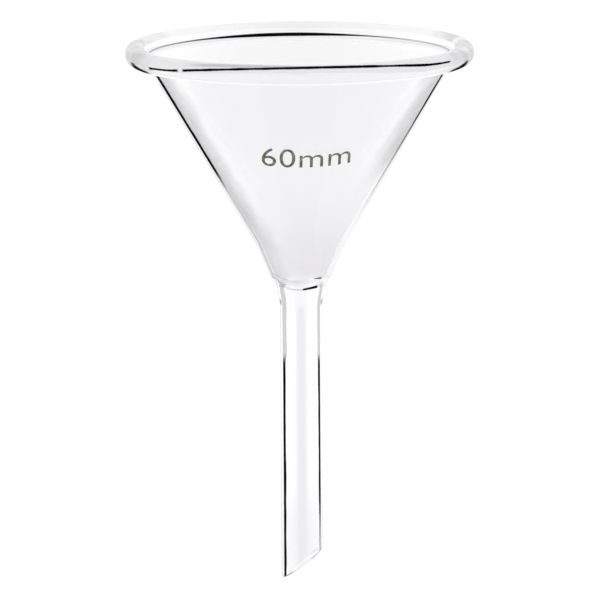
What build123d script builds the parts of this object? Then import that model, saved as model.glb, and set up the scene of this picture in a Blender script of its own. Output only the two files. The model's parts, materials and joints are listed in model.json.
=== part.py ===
"""A one-piece glass funnel: a cone with a beaded rim, drawn down into a thin stem with a slanted tip.

Millimetres. The funnel lies on a level surface, as a laid-down funnel does: it touches at the lowest
point of its bead and at its tip. The mouth looks along +Y and a little up, the stem points along -Y,
the tip's long lip is on the -X side, and the origin is on the surface under the middle of the funnel.
"""

from build123d import *
from math import acos, atan2, cos, degrees, hypot, radians, sin, tan
import os

# Rim: a round bead, rolled outwards from the wall of the cone
mouth_dia = 60.0  # over the bead
bead_dia = 3.6

# Cone
cone_angle = 61.5  # included
cone_wall = 0.9

# Foot of the cone: it steepens, turns in at the shoulder, and tapers into the stem
foot_dia = 15.0  # outside, where the cone starts to steepen
foot_angle = 45.0  # included
foot_bend = 14.0  # radius
shoulder_dia = 10.4  # outside, where the foot turns in
shoulder_angle = 76.0  # included
shoulder_round = 0.9
root_dia = 8.4  # outside, where the shoulder meets the thick root of the stem
root_length = 3.5
root_fillet = 1.8

# Stem
stem_dia = 7.15
stem_bend = 14.0  # radius where the root runs out into the stem
stem_wall = 0.85
stem_length = 51.2  # from the root's top to the end of the long lip
bevel_angle = 36.0  # of the ground tip, from a square cut
edge_break = 0.2  # of the ground tip's two edges

# Half-angles, in radians from the funnel's axis
cone_slope = radians(cone_angle / 2)
foot_slope = radians(foot_angle / 2)
shoulder_slope = radians(shoulder_angle / 2)
bevel_slope = radians(bevel_angle)

# The section is drawn as (distance from the axis, height above the middle of the bead)
bead_r = bead_dia / 2
ring_r = mouth_dia / 2 - bead_r  # to the middle of the bead's section

# The inside of the cone is tangent to the bead, and the outside runs into it
tangent_angle = 180 - cone_angle / 2
bead_gap = degrees(acos((bead_r - cone_wall) / bead_r))  # arc of the bead that the wall takes up
inner_start = (ring_r - bead_r * cos(cone_slope), bead_r * sin(cone_slope))
corner_angle = radians(tangent_angle + bead_gap)
outer_start = (ring_r + bead_r * cos(corner_angle), bead_r * sin(corner_angle))


def down_to(start, slope, radius):
    """The point where a line from start, sloping inwards by slope, reaches radius."""
    return radius, start[1] - (start[0] - radius) / tan(slope)


def inside_of(corner, slope_above, slope_below):
    """The corner of the inner surface that lies one wall inside an outer corner."""
    middle = (slope_above + slope_below) / 2
    depth = cone_wall / cos((slope_above - slope_below) / 2)
    return corner[0] - depth * cos(middle), corner[1] + depth * sin(middle)


# Outside of the foot, shoulder, root and stem
foot = down_to(outer_start, cone_slope, foot_dia / 2)
shoulder = down_to(foot, foot_slope, shoulder_dia / 2)
root = down_to(shoulder, shoulder_slope, root_dia / 2)
stem_top = (stem_dia / 2, root[1] - root_length)
lip_height = root[1] - stem_length  # the end of the long lip
blank_end = (stem_top[0], lip_height - stem_dia / 2)  # the tube is drawn too long, and then ground

# Inside of the same stretches
inner_foot = inside_of(foot, cone_slope, foot_slope)
inner_shoulder = inside_of(shoulder, foot_slope, shoulder_slope)
throat = down_to(inner_shoulder, shoulder_slope, stem_top[0] - stem_wall)
bore_end = (blank_end[0] - stem_wall, blank_end[1])

# The ground tip: its plane crosses the axis at this height
bevel_rise = tan(bevel_slope)
bevel_height = lip_height + stem_top[0] * bevel_rise

# How the funnel lies: each turn closes in on the angle at which bead and tip touch the surface together
rest_length = -bevel_height - edge_break * hypot(1, bevel_rise)  # along the axis, to where the tip touches
lie = 0.0
for _ in range(30):
    tip_drop = stem_top[0] * hypot(cos(lie), bevel_rise * sin(lie))
    lie = atan2(ring_r * cos(lie) + bead_r - tip_drop, rest_length * cos(lie))
tip_reach = (stem_top[0] - edge_break) * hypot(sin(lie), bevel_rise * cos(lie))

mouth_z = ring_r * cos(lie) + bead_r
far_y = ring_r * sin(lie) + bead_r  # the bead's furthest point, from the middle of the mouth
near_y = tip_reach - bevel_height * cos(lie)  # the tip's
mouth_y = (near_y - far_y) / 2
lying = Plane(origin=(0, mouth_y, mouth_z), x_dir=(1, 0, 0), z_dir=(0, -sin(lie), cos(lie)))
funnel_axis = Axis(lying.origin, lying.y_dir)

with BuildPart() as funnel:
    with BuildSketch(lying):
        with BuildLine():
            CenterArc((ring_r, 0), bead_r, tangent_angle, bead_gap - 360)
            FilletPolyline(
                outer_start, foot, shoulder, root, stem_top, blank_end,
                radius=[foot_bend, shoulder_round, root_fillet, stem_bend],
            )
            Line(blank_end, bore_end)
            FilletPolyline(
                bore_end, throat, inner_shoulder, inner_foot, inner_start,
                radius=[0, shoulder_round, foot_bend],
            )
        make_face()
    revolve(axis=funnel_axis)

    bevel_normal = lying.x_dir * sin(bevel_slope) - lying.y_dir * cos(bevel_slope)
    bevel = Plane(origin=lying.from_local_coords((0, bevel_height)), z_dir=bevel_normal)
    split(bisect_by=bevel, keep=Keep.BOTTOM)
    ground_face = funnel.faces().sort_by(funnel_axis)[0]
    chamfer(ground_face.edges(), length=edge_break)

funnel.part.label = "funnel"

os.makedirs("parts", exist_ok=True)
export_step(funnel.part, "parts/funnel.step")

box = funnel.part.bounding_box()
print(f"lies at {degrees(lie):.2f} degrees, volume {funnel.part.volume:.0f} mm3")
print(f"box {box.min.X:.3f} {box.min.Y:.3f} {box.min.Z:.3f} to {box.max.X:.3f} {box.max.Y:.3f} {box.max.Z:.3f}")
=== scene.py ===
import json
from math import atan2, ceil, cos, degrees, pi, radians, sin, sqrt, tan

import bpy
from mathutils import Matrix, Vector


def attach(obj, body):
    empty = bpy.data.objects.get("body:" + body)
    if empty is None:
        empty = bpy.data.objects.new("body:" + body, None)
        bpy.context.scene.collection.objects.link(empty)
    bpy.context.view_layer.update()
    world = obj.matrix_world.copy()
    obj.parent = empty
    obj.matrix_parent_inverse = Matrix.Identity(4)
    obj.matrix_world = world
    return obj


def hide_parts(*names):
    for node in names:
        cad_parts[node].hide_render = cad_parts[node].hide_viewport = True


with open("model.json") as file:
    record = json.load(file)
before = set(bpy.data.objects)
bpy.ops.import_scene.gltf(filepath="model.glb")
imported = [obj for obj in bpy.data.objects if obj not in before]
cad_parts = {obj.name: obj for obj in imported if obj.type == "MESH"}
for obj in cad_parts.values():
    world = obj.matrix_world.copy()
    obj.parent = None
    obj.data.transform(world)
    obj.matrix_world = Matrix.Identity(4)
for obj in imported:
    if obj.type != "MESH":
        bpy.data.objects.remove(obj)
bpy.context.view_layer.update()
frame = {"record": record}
print("frame loaded")

mm = 0.001

# Where the funnel lies, from the frame: its axis, and the middle of its bead
seatBelowBead = 20 * mm  # the cone_seat mount lies this far down the axis
seat = {mount["name"]: mount for mount in frame["record"]["mounts"]}["cone_seat"]
mouthWay = -Vector(seat["axis"]).normalized()
beadMiddle = Vector(seat["pos_m"]) + mouthWay * seatBelowBead
acrossWay = Vector((1, 0, 0))  # away from the tip's long lip
upWay = acrossWay.cross(mouthWay)  # square to the axis, away from the floor
axes = Matrix((acrossWay, mouthWay, upWay)).transposed()
place = Matrix.Translation(beadMiddle) @ axes.to_4x4()
lie = atan2(mouthWay.z, mouthWay.y)


# Camera
photo = {
    "pixels": 600,
    "pixelsPerMetre": 5833,  # at the rim
    "rimMiddle": (299.5, 53.3),  # of the bead's ring, from the top left corner
    "aboveMouth": radians(7.7),  # how far the camera stands above the plane of the mouth
    "roll": radians(0.35),
    "distance": 4.0,
    "farthest": 20.0,  # that the camera sees
}


def makeCamera():
    offset = [value - photo["pixels"] / 2 for value in photo["rimMiddle"]]
    toRim = atan2(-offset[1] / photo["pixelsPerMetre"], photo["distance"])
    elevation = pi / 2 + photo["aboveMouth"] + toRim - lie
    back = Vector((0, -cos(elevation), sin(elevation)))
    level = Vector((0, sin(elevation), cos(elevation)))
    right = acrossWay * cos(photo["roll"]) - level * sin(photo["roll"])
    up = acrossWay * sin(photo["roll"]) + level * cos(photo["roll"])
    target = beadMiddle - (right * offset[0] - up * offset[1]) / photo["pixelsPerMetre"]
    data = bpy.data.cameras.new("camera")
    data.lens = data.sensor_width * photo["distance"] * photo["pixelsPerMetre"] / photo["pixels"]
    data.clip_end = photo["farthest"]
    camera = bpy.data.objects.new("camera", data)
    bpy.context.scene.collection.objects.link(camera)
    turn = Matrix((right, up, back)).transposed().to_4x4()
    camera.matrix_world = Matrix.Translation(target + back * photo["distance"]) @ turn
    bpy.context.scene.camera = camera


makeCamera()
print("camera placed")


# Shape of the glass, in mm. Its section is drawn as distance from the axis, and height above the
# middle of the bead
glass = {
    "mouthWidth": 60.0,
    "bead": 3.6,
    "beadFillet": 0.3,  # under the bead, where it was rolled onto the wall
    "coneSlope": 30.75,  # degrees from the axis
    "wall": 0.9,
    "footWidth": 15.0,
    "footSlope": 22.5,
    "footBend": 14.0,
    "shoulderWidth": 10.4,
    "shoulderSlope": 38.0,
    "shoulderRound": 0.9,
    "rootWidth": 8.4,
    "rootLength": 3.5,
    "rootFillet": 1.8,
    "stemWidth": 7.15,
    "stemBend": 14.0,
    "stemWall": 0.85,
    "stemLength": 51.2,  # from the root's top to the end of the long lip
    "throatRound": 0.7,
    "bevel": 36.0,  # of the tip, from a square cut
    "lipRound": 0.3,
    "leanFrom": 3.0,  # below the stem's top, the section starts to lean towards the bevel
    "leanSpare": 2.0,  # above the tip, it has the bevel's full lean
    "arcStep": 4.0,  # degrees between the points on an arc, at most
    "arcPieces": 3,  # on a short arc, at least
    "turns": 288,  # points around
}


def arc(centre, radius, start, sweep):
    # Points on an arc, each with the way along it
    count = max(glass["arcPieces"], ceil(abs(sweep) / glass["arcStep"]))
    sign = 1 if sweep > 0 else -1
    points = []
    for index in range(count + 1):
        angle = radians(start + sweep * index / count)
        spot = (centre[0] + radius * cos(angle), centre[1] + radius * sin(angle))
        points.append((spot, (-sin(angle) * sign, cos(angle) * sign)))
    return points


def corner(before, middle, after, radius):
    # The arc that rounds a corner
    incoming = Vector((middle[0] - before[0], middle[1] - before[1])).normalized()
    outgoing = Vector((after[0] - middle[0], after[1] - middle[1])).normalized()
    turn = -incoming.angle_signed(outgoing)
    reach = radius * tan(abs(turn) / 2)
    side = 1 if turn > 0 else -1
    start = Vector(middle) - incoming * reach
    centre = start + Vector((-incoming.y, incoming.x)) * radius * side
    startAngle = degrees(atan2(start.y - centre.y, start.x - centre.x))
    return arc(centre, radius, startAngle, degrees(turn))


def downTo(start, slope, radius):
    return radius, start[1] - (start[0] - radius) / tan(radians(slope))


def insideOf(point, above, below):
    middle = radians(above + below) / 2
    depth = glass["wall"] / cos(radians(above - below) / 2)
    return point[0] - depth * cos(middle), point[1] + depth * sin(middle)


def sectionOfGlass():
    g = glass
    slope = radians(g["coneSlope"])
    beadR = g["bead"] / 2
    ringR = g["mouthWidth"] / 2 - beadR
    ring = Vector((ringR, 0))
    downWay = Vector((-sin(slope), -cos(slope)))
    outWay = Vector((cos(slope), -sin(slope)))
    innerStart = ring - outWay * beadR
    outerLine = innerStart + outWay * g["wall"]

    # Fillet between the bead and the outside of the cone
    proud = beadR - g["wall"]
    along = sqrt((beadR + g["beadFillet"]) ** 2 - (g["beadFillet"] - proud) ** 2)
    filletMiddle = ring - outWay * proud + downWay * along + outWay * g["beadFillet"]
    toFillet = filletMiddle - ring
    filletAngle = degrees(atan2(toFillet.y, toFillet.x))

    foot = downTo(outerLine, g["coneSlope"], g["footWidth"] / 2)
    shoulder = downTo(foot, g["footSlope"], g["shoulderWidth"] / 2)
    root = downTo(shoulder, g["shoulderSlope"], g["rootWidth"] / 2)
    stemTop = (g["stemWidth"] / 2, root[1] - g["rootLength"])
    rise = tan(radians(g["bevel"]))
    tip = root[1] - g["stemLength"] + stemTop[0] * rise
    boreR = stemTop[0] - g["stemWall"]
    innerFoot = insideOf(foot, g["coneSlope"], g["footSlope"])
    innerShoulder = insideOf(shoulder, g["footSlope"], g["shoulderSlope"])
    throat = downTo(innerShoulder, g["shoulderSlope"], boreR)

    startAngle = 180 - g["coneSlope"]
    points = arc(ring, beadR, startAngle, filletAngle - startAngle)
    backAngle = filletAngle + 180
    points += arc(filletMiddle, g["beadFillet"], backAngle, startAngle - backAngle)
    route = [outerLine, foot, shoulder, root, stemTop, (stemTop[0], tip)]
    route += [(boreR, tip), throat, innerShoulder, innerFoot, innerStart]
    rounds = ["footBend", "shoulderRound", "rootFillet", "stemBend", "lipRound"]
    rounds += ["lipRound", "throatRound", "shoulderRound", "footBend"]
    for before, middle, after, name in zip(route, route[1:], route[2:], rounds):
        points += corner(before, middle, after, g[name])
    return points, stemTop[1], tip, rise


def makeGlass():
    section, stemTop, tip, rise = sectionOfGlass()
    straight = stemTop - glass["leanFrom"]  # the stem is a straight tube from here down
    lean = straight - tip - glass["leanSpare"]
    turns = glass["turns"]
    turnOnly = place.to_3x3()
    vertices, normals = [], []
    for (radius, height), (alongR, alongH) in section:
        share = min(max((straight - height) / lean, 0), 1)
        growth = -1 / lean if 0 < share < 1 else 0
        for index in range(turns):
            turn = 2 * pi * index / turns
            across, up = cos(turn), sin(turn)
            drop = rise * radius * across * share
            spot = Vector((radius * across, height + drop, radius * up))
            vertices.append(place @ (spot * mm))
            down = alongH + rise * across * (alongR * share + radius * growth * alongH)
            alongWay = Vector((alongR * across, down, alongR * up))
            turnWay = Vector((-radius * up, -rise * radius * up * share, radius * across))
            normals.append((turnOnly @ turnWay.cross(alongWay)).normalized())
    faces, inner = [], []
    lip = section.index(min(section, key=lambda point: point[0][1]))
    for ring in range(len(section)):
        first, second = ring * turns, (ring + 1) % len(section) * turns
        for index in range(turns):
            after = (index + 1) % turns
            faces.append((first + index, first + after, second + after, second + index))
            inner.append(1 if ring >= lip else 0)
    mesh = bpy.data.meshes.new("glassFunnel")
    mesh.from_pydata(vertices, [], faces)
    mesh.polygons.foreach_set("material_index", inner)
    mesh.polygons.foreach_set("use_smooth", [True] * len(faces))
    mesh.normals_split_custom_set_from_vertices(normals)
    piece = bpy.data.objects.new("glassFunnel", mesh)
    bpy.context.scene.collection.objects.link(piece)
    return piece


glassFunnel = makeGlass()
print("glass made:", len(glassFunnel.data.polygons), "faces")


# Node helpers
black = (0, 0, 0, 1)
white = (1, 1, 1, 1)


def fill(tree, node, values):
    for name, value in values.items():
        if isinstance(value, bpy.types.NodeSocket):
            tree.links.new(value, node.inputs[name])
        else:
            node.inputs[name].default_value = value


def addNode(tree, kind, values=None, **settings):
    node = tree.nodes.new(kind)
    for name, value in settings.items():
        setattr(node, name, value)
    fill(tree, node, values or {})
    return node


def calculate(tree, operation, first, second=0.0):
    return addNode(tree, "ShaderNodeMath", {0: first, 1: second}, operation=operation).outputs[0]


def plus(tree, first, second):
    return calculate(tree, "ADD", first, second)


def minus(tree, first, second):
    return calculate(tree, "SUBTRACT", first, second)


def sizeOf(tree, value):
    return calculate(tree, "ABSOLUTE", value)


def product(tree, *values):
    result = values[0]
    for value in values[1:]:
        result = calculate(tree, "MULTIPLY", result, value)
    return result


def strongest(tree, *values):
    result = values[0]
    for value in values[1:]:
        result = calculate(tree, "MAXIMUM", result, value)
    return result


def ramp(tree, value, start, end, low=0.0, high=1.0, kind="SMOOTHSTEP"):
    # Goes over from low at start to high at end
    values = {"Value": value, "From Min": start, "From Max": end, "To Min": low, "To Max": high}
    return addNode(tree, "ShaderNodeMapRange", values, interpolation_type=kind).outputs["Result"]


def window(tree, value, start, end, soft):
    # 1 from start to end, and 0 outside, with soft borders inside
    fadeOut = ramp(tree, value, end - soft, end, 1.0, 0.0)
    return product(tree, ramp(tree, value, start, start + soft), fadeOut)


strokeCore = 0.6  # share of a drawn line's half width that is fully dark


def stroke(tree, off, half):
    return ramp(tree, off, product(tree, half, strokeCore), half, 1.0, 0.0)


def mixed(tree, factor, first, second):
    # The Mix node has its sockets for colours and for values at different places
    coloured = isinstance(first, tuple) or getattr(first, "type", "") == "RGBA"
    kind, one, two, result = ("RGBA", 6, 7, 2) if coloured else ("FLOAT", 2, 3, 0)
    values = {0: factor, one: first, two: second}
    return addNode(tree, "ShaderNodeMix", values, data_type=kind).outputs[result]


def noise(tree, position, scale, detail):
    values = {"Vector": position, "Scale": scale, "Detail": detail}
    return addNode(tree, "ShaderNodeTexNoise", values).outputs["Fac"]


def lengthOf(tree, first, second):
    flat = addNode(tree, "ShaderNodeCombineXYZ", {"X": first, "Y": second}).outputs["Vector"]
    return addNode(tree, "ShaderNodeVectorMath", {0: flat}, operation="LENGTH").outputs["Value"]


def spotOn(tree, position):
    # Where a point is: sideways, along the axis from the bead's middle, up, and off the axis
    values = {"Vector": position, "Location": beadMiddle, "Rotation": (lie, 0, 0)}
    local = addNode(tree, "ShaderNodeMapping", values, vector_type="TEXTURE").outputs["Vector"]
    split = addNode(tree, "ShaderNodeSeparateXYZ", {"Vector": local}).outputs
    radius = lengthOf(tree, split["X"], split["Z"])
    return {"across": split["X"], "height": split["Y"], "up": split["Z"], "radius": radius}


# What the outside and the inside of the glass share
glassLook = {
    "ior": 1.473,  # of borosilicate glass
    # These tints paint shade into the clear glass: grey on the cone, darker towards the foot,
    # nearly clear on the stem
    "conePaintedShade": (0.925, 0.924, 0.93, 1),
    "footPaintedShade": (0.85, 0.843, 0.857, 1),
    "stemPaintedShade": (0.985, 0.984, 0.988, 1),
    "footBorder": (-38 * mm, -18 * mm),  # heights where the foot's painted shade goes over to the cone's
    "stemBorder": (-40.5 * mm, -38.5 * mm),  # and the stem's to the foot's
    "paintedShade": (0.003, 0.003, 0.004, 1),  # painted shade of the dark lines along the glass
    "paintedGlow": (0.86, 0.855, 0.875, 1),  # a painted glow where rays have met many surfaces in the wall, so that they aren't black
    "paintedGlowFrom": 4.5,  # surfaces met before the painted glow takes over
    "directTo": 0.5,  # surfaces met before this one, where the glass is seen through no other
}


def makePaintedWallShade():
    # Painted shade in the tint of the wall: grey on the cone, darker towards the foot, and nearly
    # clear on the stem
    group = bpy.data.node_groups.new("paintedWallShade", "ShaderNodeTree")
    group.interface.new_socket("Position", in_out="INPUT", socket_type="NodeSocketVector")
    for label in ("Cone Painted Shade", "Foot Painted Shade", "Stem Painted Shade"):
        group.interface.new_socket(label, in_out="INPUT", socket_type="NodeSocketColor")
    group.interface.new_socket("Tint", in_out="OUTPUT", socket_type="NodeSocketColor")
    given = group.nodes.new("NodeGroupInput").outputs
    height = spotOn(group, given["Position"])["height"]
    aboveFoot = ramp(group, height, *glassLook["footBorder"])
    cone = mixed(group, aboveFoot, given["Foot Painted Shade"], given["Cone Painted Shade"])
    onCone = ramp(group, height, *glassLook["stemBorder"])
    tintWithPaintedLight = mixed(group, onCone, given["Stem Painted Shade"], cone)
    group.links.new(tintWithPaintedLight, group.nodes.new("NodeGroupOutput").inputs["Tint"])
    return group


paintedWallShade = makePaintedWallShade()


def rayDepth(tree):
    return addNode(tree, "ShaderNodeLightPath").outputs["Ray Depth"]


def startGlass(name):
    material = bpy.data.materials.new(name)
    material.use_nodes = True
    material.cycles.emission_sampling = "NONE"  # it isn't a lamp, and sampling it as one is slow
    tree = material.node_tree
    position = addNode(tree, "ShaderNodeTexCoord").outputs["Object"]
    values = {"Position": position, "Cone Painted Shade": glassLook["conePaintedShade"],
              "Foot Painted Shade": glassLook["footPaintedShade"], "Stem Painted Shade": glassLook["stemPaintedShade"]}
    tintWithPaintedLight = addNode(tree, "ShaderNodeGroup", values, node_tree=paintedWallShade).outputs["Tint"]
    direct = calculate(tree, "LESS_THAN", rayDepth(tree), glassLook["directTo"])
    return material, tree, position, tintWithPaintedLight, direct


def finishGlass(tree, tintWithPaintedLight, paintedShadeStrength):
    # Clear glass, and over it the painted shade of the lines and the painted glow
    shader = tree.nodes["Principled BSDF"]
    values = {"Base Color": tintWithPaintedLight, "Transmission Weight": 1, "Roughness": 0, "IOR": glassLook["ior"]}
    fill(tree, shader, values)
    # Painted glow, where a ray has met many surfaces
    paintedGlow = calculate(tree, "GREATER_THAN", rayDepth(tree), glassLook["paintedGlowFrom"])
    # An opaque painted shade, which also carries the painted glow
    values = {"Base Color": glassLook["paintedShade"], "Roughness": 1.0, "Specular IOR Level": 0.0,
              "Emission Color": mixed(tree, paintedGlow, black, glassLook["paintedGlow"]),
              "Emission Strength": 1.0}
    paintedShade = addNode(tree, "ShaderNodeBsdfPrincipled", values)
    values = {0: strongest(tree, paintedGlow, paintedShadeStrength), 1: shader.outputs[0], 2: paintedShade.outputs[0]}
    both = addNode(tree, "ShaderNodeMixShader", values)
    tree.links.new(both.outputs[0], tree.nodes["Material Output"].inputs["Surface"])


plainBlend = 0.5  # with which Layer Weight's Facing is one minus the cosine
leastSquare = 0.01  # so that a look straight along the axis isn't divided by nothing


def insetOf(tree, facing, radius, axisFacing=None):
    # How far inside its outline a round surface is seen. The axis corrects it for a slanting look
    level = minus(tree, 1.0, facing)
    if axisFacing:
        along = minus(tree, 1.0, axisFacing)
        square = strongest(tree, minus(tree, 1.0, product(tree, along, along)), leastSquare)
        level = calculate(tree, "DIVIDE", level, calculate(tree, "SQRT", square))
        level = calculate(tree, "MINIMUM", level, 1.0)
    outwards = calculate(tree, "SQRT", minus(tree, 1.0, product(tree, level, level)))
    return product(tree, radius, minus(tree, 1.0, outwards))


def lineAt(tree, inset, near, far, soft):
    # The painted shade line between two insets, with soft borders outside them
    inner = ramp(tree, inset, minus(tree, near, soft), near)
    return product(tree, inner, ramp(tree, inset, far, plus(tree, far, soft), 1.0, 0.0))


# The outline's painted shade and highlight: a dark line inside it, a grey band beside that, a
# bright border beyond, and a mark on the root. What bySide reads is a pair, for the side of the
# tip's long lip and for the opposite side
outlineLook = {
    "sideBorder": (-1 * mm, 1 * mm),  # between the two sides
    "soft": 0.12 * mm,
    "unevenScale": 220.0,  # a slow noise that keeps lines and bands from being perfectly even
    "unevenDetail": 2.0,
    "unevenSpan": (0.3, 0.7),
    "lineChange": 0.05,  # how much it changes the line's far border
    "bandChange": 0.12,  # and the band's reach
    "coneLine": ((0.30 * mm, 0.30 * mm), (0.56 * mm, 0.42 * mm)),  # inset of its two borders
    "stemLine": ((0.47 * mm, 0.44 * mm), (0.80 * mm, 0.66 * mm)),
    "neckLine": ((0.42 * mm, 0.38 * mm), (1.02 * mm, 0.76 * mm)),  # the same, next to the cone
    "neckDark": 0.40,  # how dark it is there
    "stemDark": (-53.5 * mm, -51.5 * mm),  # full below, the neck's above
    "tipBorder": (-86 * mm, -76 * mm),  # heights where the tip's values go over to the stem's
    "tipWidth": 0.94,  # share of the far border's inset that is left at the tip
    "tipDark": (1.0, 0.45),
    "fadeTop": (-19 * mm, -6 * mm),  # the cone's line gets thinner and fainter below this height
    "fadeLength": (5 * mm, 28 * mm),
    "fadedWidth": (0.72, 0.9),  # share of the far border's inset that is left
    "fadedDark": (0.45, 0.0),
    "edgeDark": (0.42, 0.20),  # painted shade along the very outline
    "edgeCore": 0.3,  # share of its width that is fully dark
    "bandFar": 2.4 * mm,  # inset that the painted grey band reaches
    "bandFades": (0.1, 1.15),  # shares of bandFar
    "bandDark": 0.36,
    "bandTop": (-26 * mm, -15 * mm),  # it fades below this height
    "bandLength": 8 * mm,
    "bandFaded": (0.6, 0.1),
    "glint": 0.6,  # strength of the painted highlight beyond the band
    "glintRises": (0.7, 1.1),  # shares of bandFar
    "glintFades": (1.1, 1.8),
    "rootMark": (-43.7 * mm, -42.1 * mm, 0.7 * mm),  # a short painted shade mark on the root: from, to, and fade
    "rootMarkInset": (0.2 * mm, 0.45 * mm),
    "rootMarkDark": (0.6, 0.55),
}


def outlinePaintedShadeAndHighlight(tree, look, spot, inset, onCone, uneven, belowBead):
    side = ramp(tree, spot["across"], *look["sideBorder"])
    height = spot["height"]

    def bySide(pair):
        return mixed(tree, side, *pair)

    # Where the line is, and how wide
    starts = [top - length for top, length in zip(look["fadeTop"], look["fadeLength"])]
    fadeEnd, fadeTop = bySide(starts), bySide(look["fadeTop"])
    coneWidth = ramp(tree, height, fadeEnd, fadeTop, bySide(look["fadedWidth"]), 1.0)
    aboveTip = ramp(tree, height, *look["tipBorder"])
    tipWidth = ramp(tree, height, *look["tipBorder"], look["tipWidth"], 1.0)
    onNeck = ramp(tree, height, *look["stemDark"])
    stemNear = mixed(tree, onNeck, bySide(look["stemLine"][0]), bySide(look["neckLine"][0]))
    stemFar = mixed(tree, onNeck, bySide(look["stemLine"][1]), bySide(look["neckLine"][1]))
    near = mixed(tree, onCone, stemNear, bySide(look["coneLine"][0]))
    coneFar = product(tree, bySide(look["coneLine"][1]), coneWidth)
    far = mixed(tree, onCone, product(tree, stemFar, tipWidth), coneFar)
    change = look["lineChange"]
    far = product(tree, far, ramp(tree, uneven, *look["unevenSpan"], 1 - change, 1 + change))
    line = lineAt(tree, inset, near, far, look["soft"])

    # How dark it is
    upper = ramp(tree, height, fadeEnd, fadeTop, bySide(look["fadedDark"]), 1.0)
    lower = mixed(tree, aboveTip, bySide(look["tipDark"]), 1.0)
    lower = mixed(tree, onNeck, lower, look["neckDark"])
    line = product(tree, line, mixed(tree, onCone, lower, upper))
    edge = ramp(tree, inset, look["soft"] * look["edgeCore"], look["soft"], 1.0, 0.0)
    edge = product(tree, edge, bySide(look["edgeDark"]))

    # The painted grey band and its painted highlight border
    change = look["bandChange"]
    reach = ramp(tree, uneven, *look["unevenSpan"], 1 - change, 1 + change)
    reach = product(tree, reach, look["bandFar"])

    def overShares(shares, low=0.0, high=1.0):
        start, end = (product(tree, reach, share) for share in shares)
        return ramp(tree, inset, start, end, low, high)

    bandTop = bySide(look["bandTop"])
    bandEnd = minus(tree, bandTop, look["bandLength"])
    level = ramp(tree, height, bandEnd, bandTop, bySide(look["bandFaded"]), 1.0)
    level = product(tree, level, onCone, belowBead)
    grey = product(tree, ramp(tree, inset, minus(tree, near, look["soft"]), near),
                   overShares(look["bandFades"], 1.0, 0.0), level, look["bandDark"])
    paintedHighlight = product(tree, overShares(look["glintRises"]), overShares(look["glintFades"], 1.0, 0.0),
                     level, look["glint"])

    root = product(tree, window(tree, height, *look["rootMark"]), bySide(look["rootMarkDark"]),
                   ramp(tree, inset, *look["rootMarkInset"], 1.0, 0.0))
    paintedShade = product(tree, strongest(tree, line, edge, grey, root), belowBead)
    return paintedShade, paintedHighlight


# The ground tip: painted shade, a dark mark on the long lip, and a grey one opposite
tipLook = {
    "height": -88.47 * mm,  # where it crosses the axis
    "marks": (  # from and to across the stem, how far above the tip, and how dark
        (-2.95 * mm, -1.4 * mm, 0.0, 1.0),
        (1.2 * mm, 3.1 * mm, 0.1 * mm, 0.5),
    ),
    "halfWidth": (0.1 * mm, 0.22 * mm),  # fully dark, and gone
    "soft": 0.45 * mm,
}


def tipPaintedShade(tree, look, spot):
    lean = product(tree, spot["across"], tan(radians(glass["bevel"])))
    aboveTip = minus(tree, minus(tree, spot["height"], lean), look["height"])
    marks = []
    for start, end, above, paintedShadeStrength in look["marks"]:
        off = sizeOf(tree, minus(tree, aboveTip, above))
        along = window(tree, spot["across"], start, end, look["soft"])
        marks.append(product(tree, along, ramp(tree, off, *look["halfWidth"], 1.0, 0.0), paintedShadeStrength))
    return strongest(tree, *marks)


# The bead: a painted soft shade at its two ends, and a painted dark line under it next to them
beadLook = {
    "top": -1.9 * mm,  # the bead is above this height
    "soft": 0.3 * mm,
    "endShade": 0.26,
    "endUneven": (0.35, 0.6, 0.4, 1.0),  # span of the noise, and what it takes the shade to
    "endFrom": (0.80, 0.96),  # share of the way from the middle to the end
    "line": (0.02 * mm, 0.06 * mm),  # inset of its two borders
    "lineSoft": 0.036 * mm,
    "lineFrom": (0.86, 0.98, 0.03),  # share of the way to the end: from, to, and soft border
    "lineUp": (2 * mm, 5 * mm),  # only on the side that faces up
    "lineBelow": (-0.4 * mm, 0.0),  # and on the bead's lower half
}


def beadPaintedShade(tree, look, spot, facing, uneven):
    around = calculate(tree, "DIVIDE", sizeOf(tree, spot["across"]), spot["radius"])
    ends = product(tree, ramp(tree, around, *look["endFrom"]),
                   ramp(tree, uneven, *look["endUneven"]), look["endShade"])
    inset = insetOf(tree, facing, glass["bead"] / 2 * mm)
    line = lineAt(tree, inset, *look["line"], look["lineSoft"])
    line = product(tree, line, window(tree, around, *look["lineFrom"]),
                   ramp(tree, spot["up"], *look["lineUp"]),
                   ramp(tree, spot["height"], *look["lineBelow"], 1.0, 0.0))
    return strongest(tree, ends, line)


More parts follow.
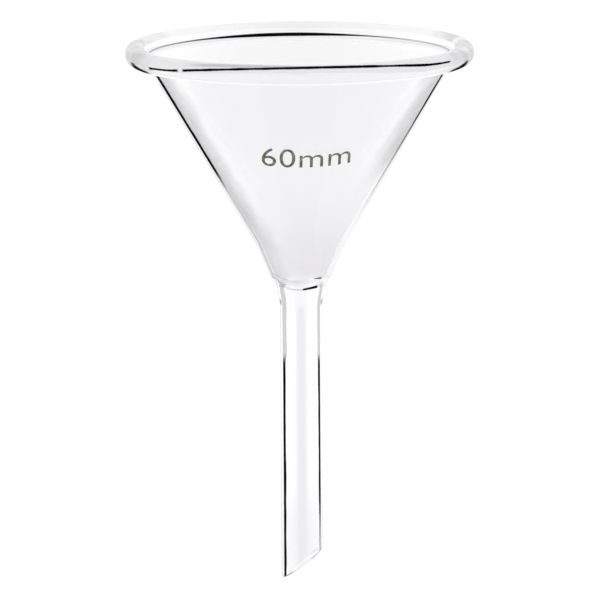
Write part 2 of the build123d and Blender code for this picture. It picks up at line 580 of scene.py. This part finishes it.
# Painted shade lines on the near side, where the wall joins the bead and at the neck. Their
# places are sideways from the axis, and down from the bead's middle as the photo shows it
drawnLook = {
    "nearSide": (4 * mm, 6 * mm),  # how far above the axis the bead's near side begins
    "join": {"down": 2.49 * mm, "tilt": 0.016, "half": 0.26 * mm},
    "joinUneven": (0.35, 0.65, 0.8, 1.15),  # span of the noise, and what it takes the width to
    "joinBend": (20.4 * mm, 18.0),  # beyond this far out it bends up, and how fast
    "joinEnds": 26 * mm,  # how far out it ends, on both sides
    "joinSoft": 0.5 * mm,
    "joinGap": (-20.4 * mm, 0.2 * mm, 0.6 * mm),  # its middle, and where the line is back beside it
    # a faint painted shade streak that runs into the join
    "paintedStreak": {"down": 2.44 * mm, "tilt": -0.031, "half": 0.34 * mm, "paintedShade": 0.3},
    "paintedStreakFrom": (-21 * mm, -15 * mm),  # it fades in here
    "paintedStreakTo": (-3 * mm, 3 * mm),  # and out here
    "neckSide": (0.0, 0.5 * mm),  # how far above the axis the neck's near side begins
    "neckSoft": 0.3 * mm,
    "neck": (  # from, to, sag, half width at each end, how dark
        ((0.15 * mm, 40.56 * mm), (2.98 * mm, 39.98 * mm), 0.04 * mm, (0.2 * mm, 0.32 * mm), 1.0),
        ((-2.7 * mm, 40.36 * mm), (0.4 * mm, 40.58 * mm), 0.05 * mm, (0.18 * mm, 0.18 * mm), 0.3),
        ((-5.3 * mm, 37.42 * mm), (-2.1 * mm, 38.9 * mm), 0.22 * mm, (0.2 * mm, 0.12 * mm), 0.3),
        ((2.1 * mm, 38.64 * mm), (3.7 * mm, 38.5 * mm), 0.03 * mm, (0.05 * mm, 0.25 * mm), 0.85),
        ((-3.7 * mm, 39.92 * mm), (-2.7 * mm, 39.72 * mm), 0.0, (0.14 * mm, 0.14 * mm), 0.22),
    ),
}


def drawnPaintedShade(tree, look, spot, uneven, onBead):
    across = spot["across"]
    high = product(tree, spot["up"], sin(photo["aboveMouth"]))
    down = minus(tree, high, product(tree, spot["height"], cos(photo["aboveMouth"])))

    # The painted shade at the join, and the painted streak that runs into it
    bendFrom, bendBy = look["joinBend"]
    beyond = strongest(tree, minus(tree, sizeOf(tree, across), bendFrom), 0.0)
    bent = plus(tree, down, product(tree, beyond, beyond, bendBy))

    def longLine(line, half):
        off = minus(tree, plus(tree, bent, product(tree, across, line["tilt"])), line["down"])
        return stroke(tree, sizeOf(tree, off), half)

    half = product(tree, ramp(tree, uneven, *look["joinUneven"]), look["join"]["half"])
    middle, gapFrom, gapTo = look["joinGap"]
    join = product(tree, longLine(look["join"], half),
                   window(tree, across, -look["joinEnds"], look["joinEnds"], look["joinSoft"]),
                   ramp(tree, sizeOf(tree, minus(tree, across, middle)), gapFrom, gapTo))
    paintedStreak = product(tree, longLine(look["paintedStreak"], look["paintedStreak"]["half"]),
                     ramp(tree, across, *look["paintedStreakFrom"]),
                     ramp(tree, across, *look["paintedStreakTo"], look["paintedStreak"]["paintedShade"], 0.0))
    onNear = ramp(tree, spot["up"], *look["nearSide"])
    lines = product(tree, strongest(tree, join, paintedStreak), onBead, onNear)

    # The short painted shade lines at the neck
    near = ramp(tree, spot["up"], *look["neckSide"])
    for start, end, sag, halves, paintedShadeStrength in look["neck"]:
        share = ramp(tree, across, start[0], end[0], kind="LINEAR")
        rest = minus(tree, 1.0, share)
        straight = plus(tree, product(tree, rest, start[1]), product(tree, share, end[1]))
        course = plus(tree, straight, product(tree, share, rest, sag * 4))  # full sag half way
        half = plus(tree, product(tree, rest, halves[0]), product(tree, share, halves[1]))
        line = stroke(tree, sizeOf(tree, minus(tree, down, course)), half)
        along = window(tree, across, start[0], end[0], look["neckSoft"])
        line = product(tree, line, along, near, paintedShadeStrength)
        lines = strongest(tree, lines, line)
    return lines


# Painted shade in the tints that only the outside has
outerLook = {
    "nearPaintedShade": (0.84, 0.837, 0.848, 1),  # painted shade of the cone's near side
    "nearBorder": (-30 * mm, -10 * mm),  # heights where it comes in
    # painted shade, darker towards the tip
    "tipTint": (0.88, 0.875, 0.89, 1),
    "tipBorder": (-83 * mm, -70 * mm),
    "stemMiddlePaintedShade": (0.80, 0.79, 0.815, 1),  # a faint painted shade band down the middle of the stem
    "middleWidth": (0.012, 0.05),  # how far the glass is turned away where the band fades
}


def makeOuterGlass(look):
    material, tree, position, tintWithPaintedLight, direct = startGlass("outerGlass")
    spot = spotOn(tree, position)
    facing = addNode(tree, "ShaderNodeLayerWeight", {"Blend": plainBlend}).outputs["Facing"]
    axis = addNode(tree, "ShaderNodeCombineXYZ", dict(zip("XYZ", mouthWay))).outputs["Vector"]
    values = {"Blend": plainBlend, "Normal": axis}
    axisFacing = addNode(tree, "ShaderNodeLayerWeight", values).outputs["Facing"]
    inset = insetOf(tree, facing, spot["radius"], axisFacing)
    uneven = noise(tree, position, outlineLook["unevenScale"], outlineLook["unevenDetail"])
    onCone = ramp(tree, spot["height"], *glassLook["stemBorder"])
    onBead = ramp(tree, spot["height"], beadLook["top"] - beadLook["soft"], beadLook["top"])
    belowBead = minus(tree, 1.0, onBead)

    # Painted shade of the lines and marks, and the outline's painted highlight
    outline, paintedHighlight = outlinePaintedShadeAndHighlight(tree, outlineLook, spot, inset, onCone, uneven, belowBead)
    bead = product(tree, beadPaintedShade(tree, beadLook, spot, facing, uneven), onBead)
    drawn = drawnPaintedShade(tree, drawnLook, spot, uneven, onBead)
    paintedShadeStrength = strongest(tree, outline, bead, drawn, tipPaintedShade(tree, tipLook, spot))

    # Painted shade at the tip, down the stem's middle and on the near side, then the painted
    # highlight
    atTip = ramp(tree, spot["height"], *look["tipBorder"], 1.0, 0.0)
    tintWithPaintedLight = mixed(tree, atTip, tintWithPaintedLight, look["tipTint"])
    middle = ramp(tree, facing, *look["middleWidth"], 1.0, 0.0)
    middle = product(tree, middle, minus(tree, 1.0, onCone))
    tintWithPaintedLight = mixed(tree, middle, tintWithPaintedLight, look["stemMiddlePaintedShade"])
    near = product(tree, direct, ramp(tree, spot["height"], *look["nearBorder"]))
    tintWithPaintedLight = mixed(tree, near, tintWithPaintedLight, look["nearPaintedShade"])
    tintWithPaintedLight = mixed(tree, paintedHighlight, tintWithPaintedLight, white)
    finishGlass(tree, tintWithPaintedLight, product(tree, paintedShadeStrength, direct))
    return material


# The painted dark line over the mouth's far side, where the bead's inside turns away
innerLook = {
    "radius": 25.99 * mm,
    "height": -0.19 * mm,
    "halfWidth": 0.42 * mm,
    "middle": -3 * mm,  # where it is thickest and darkest
    "thinner": (2 * mm, 16 * mm),  # from the middle, where it gets thinner
    "fainter": (10 * mm, 25 * mm),  # and fainter
    "rest": 0.4,  # share of width and dark that is left at its ends
}


def makeInnerGlass(look):
    material, tree, position, tintWithPaintedLight, direct = startGlass("innerGlass")
    spot = spotOn(tree, position)
    offMiddle = sizeOf(tree, minus(tree, spot["across"], look["middle"]))
    half = ramp(tree, offMiddle, *look["thinner"], 1.0, look["rest"])
    half = product(tree, half, look["halfWidth"])
    off = lengthOf(tree, minus(tree, spot["radius"], look["radius"]),
                   minus(tree, spot["height"], look["height"]))
    fainter = ramp(tree, offMiddle, *look["fainter"], 1.0, look["rest"])
    finishGlass(tree, tintWithPaintedLight, product(tree, stroke(tree, off, half), fainter, direct))
    return material


glassFunnel.data.materials.append(makeOuterGlass(outerLook))
glassFunnel.data.materials.append(makeInnerGlass(innerLook))
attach(glassFunnel, "root")
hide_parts("funnel")
print("glass finished")


# Size mark, printed on the side of the cone that faces up
mark = {
    "words": "60mm",
    "width": 15.7 * mm,  # along the glass
    "capHeight": 4.0 * mm,
    "height": -15.7 * mm,  # of its middle, below the middle of the bead
    "turn": radians(3.6),  # of its middle, from the top of the cone
    "arch": 8.0,  # how fast the baseline bends up
    "archMiddle": -1.2 * mm,
    "upright": 0.9,  # 0 lets the letters spread with the cone, 1 keeps them parallel
    "bold": -0.004,
    "spacing": 1.04,
    "smoothness": 6,  # of the letters' curves
    "lift": 0.05 * mm,
    "thickness": 0.02 * mm,
    "ink": (0.075, 0.082, 0.042, 1),
    "worn": (0.24, 0.255, 0.165, 1),
    "wornShare": (0.42, 0.68),  # where the grain turns from ink to worn ink
    "grainScale": 1400.0,
    "grainDetail": 3.0,
    "grainSpan": (0.3, 0.7),
    "roughness": (0.55, 0.8),
}


def makeMark():
    curve = bpy.data.curves.new("sizeMark", "FONT")
    curve.body = mark["words"]
    curve.align_x = "CENTER"
    curve.extrude = 0.001  # any depth does, because it is scaled to the thickness below
    curve.offset = mark["bold"]
    curve.space_character = mark["spacing"]
    curve.resolution_u = mark["smoothness"]
    source = bpy.data.objects.new("sizeMarkText", curve)
    mesh = bpy.data.meshes.new_from_object(source)
    bpy.data.objects.remove(source)
    low = [min(v.co[axis] for v in mesh.vertices) for axis in range(3)]
    high = [max(v.co[axis] for v in mesh.vertices) for axis in range(3)]
    slope = radians(glass["coneSlope"])
    ringR = (glass["mouthWidth"] - glass["bead"]) / 2 * mm
    proud = (glass["bead"] / 2 - glass["wall"]) * mm
    outerR = ringR - proud / cos(slope) + mark["height"] * tan(slope)
    for vertex in mesh.vertices:
        share = [(vertex.co[axis] - low[axis]) / (high[axis] - low[axis]) for axis in range(3)]
        along = (share[0] - 0.5) * mark["width"]
        arch = mark["arch"] * (along - mark["archMiddle"]) ** 2
        upCone = (share[1] - 0.5) * mark["capHeight"] + arch
        off = mark["lift"] + mark["thickness"] * share[2]
        radius = outerR + upCone * sin(slope) + off * cos(slope)
        spread = radius * mark["upright"] + outerR * (1 - mark["upright"])
        turn = pi / 2 - mark["turn"] - along / spread
        height = mark["height"] + upCone * cos(slope) - off * sin(slope)
        vertex.co = place @ Vector((radius * cos(turn), height, radius * sin(turn)))
    piece = bpy.data.objects.new("sizeMark", mesh)
    bpy.context.scene.collection.objects.link(piece)
    return piece


def makeInk():
    material = bpy.data.materials.new("ink")
    material.use_nodes = True
    tree = material.node_tree
    position = addNode(tree, "ShaderNodeTexCoord").outputs["Object"]
    grain = noise(tree, position, mark["grainScale"], mark["grainDetail"])
    colour = mixed(tree, ramp(tree, grain, *mark["wornShare"]), mark["ink"], mark["worn"])
    roughness = ramp(tree, grain, *mark["grainSpan"], *mark["roughness"])
    fill(tree, tree.nodes["Principled BSDF"], {"Base Color": colour, "Roughness": roughness})
    return material


sizeMark = makeMark()
sizeMark.data.materials.append(makeInk())
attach(sizeMark, "root")
print("size mark made")


# Floor and light
studio = {
    "floorReach": 3.0,
    "floorDrop": 0.02 * mm,  # so that the glass doesn't touch it exactly
    "floorColour": (0.4, 0.4, 0.4, 1),
    "floorGlow": 0.72,
    "floorRoughness": 0.9,
    "light": white,
    "worldStrength": 1.0,
}


def makeStudio():
    scene = bpy.context.scene
    scene.view_settings.view_transform = "Standard"
    mesh = bpy.data.meshes.new("floor")
    far = studio["floorReach"]
    corners = [(-far, -far, 0), (far, -far, 0), (far, far, 0), (-far, far, 0)]
    mesh.from_pydata(corners, [], [(0, 1, 2, 3)])
    floor = bpy.data.objects.new("floor", mesh)
    floor.location.z = -studio["floorDrop"]
    scene.collection.objects.link(floor)
    material = bpy.data.materials.new("floor")
    material.use_nodes = True
    values = {"Base Color": studio["floorColour"], "Roughness": studio["floorRoughness"],
              "Specular IOR Level": 0, "Emission Color": studio["light"],
              "Emission Strength": studio["floorGlow"]}
    fill(material.node_tree, material.node_tree.nodes["Principled BSDF"], values)
    mesh.materials.append(material)
    world = bpy.data.worlds.new("studio")
    scene.world = world
    world.use_nodes = True
    values = {"Color": studio["light"], "Strength": studio["worldStrength"]}
    fill(world.node_tree, world.node_tree.nodes["Background"], values)


makeStudio()
print("studio made")
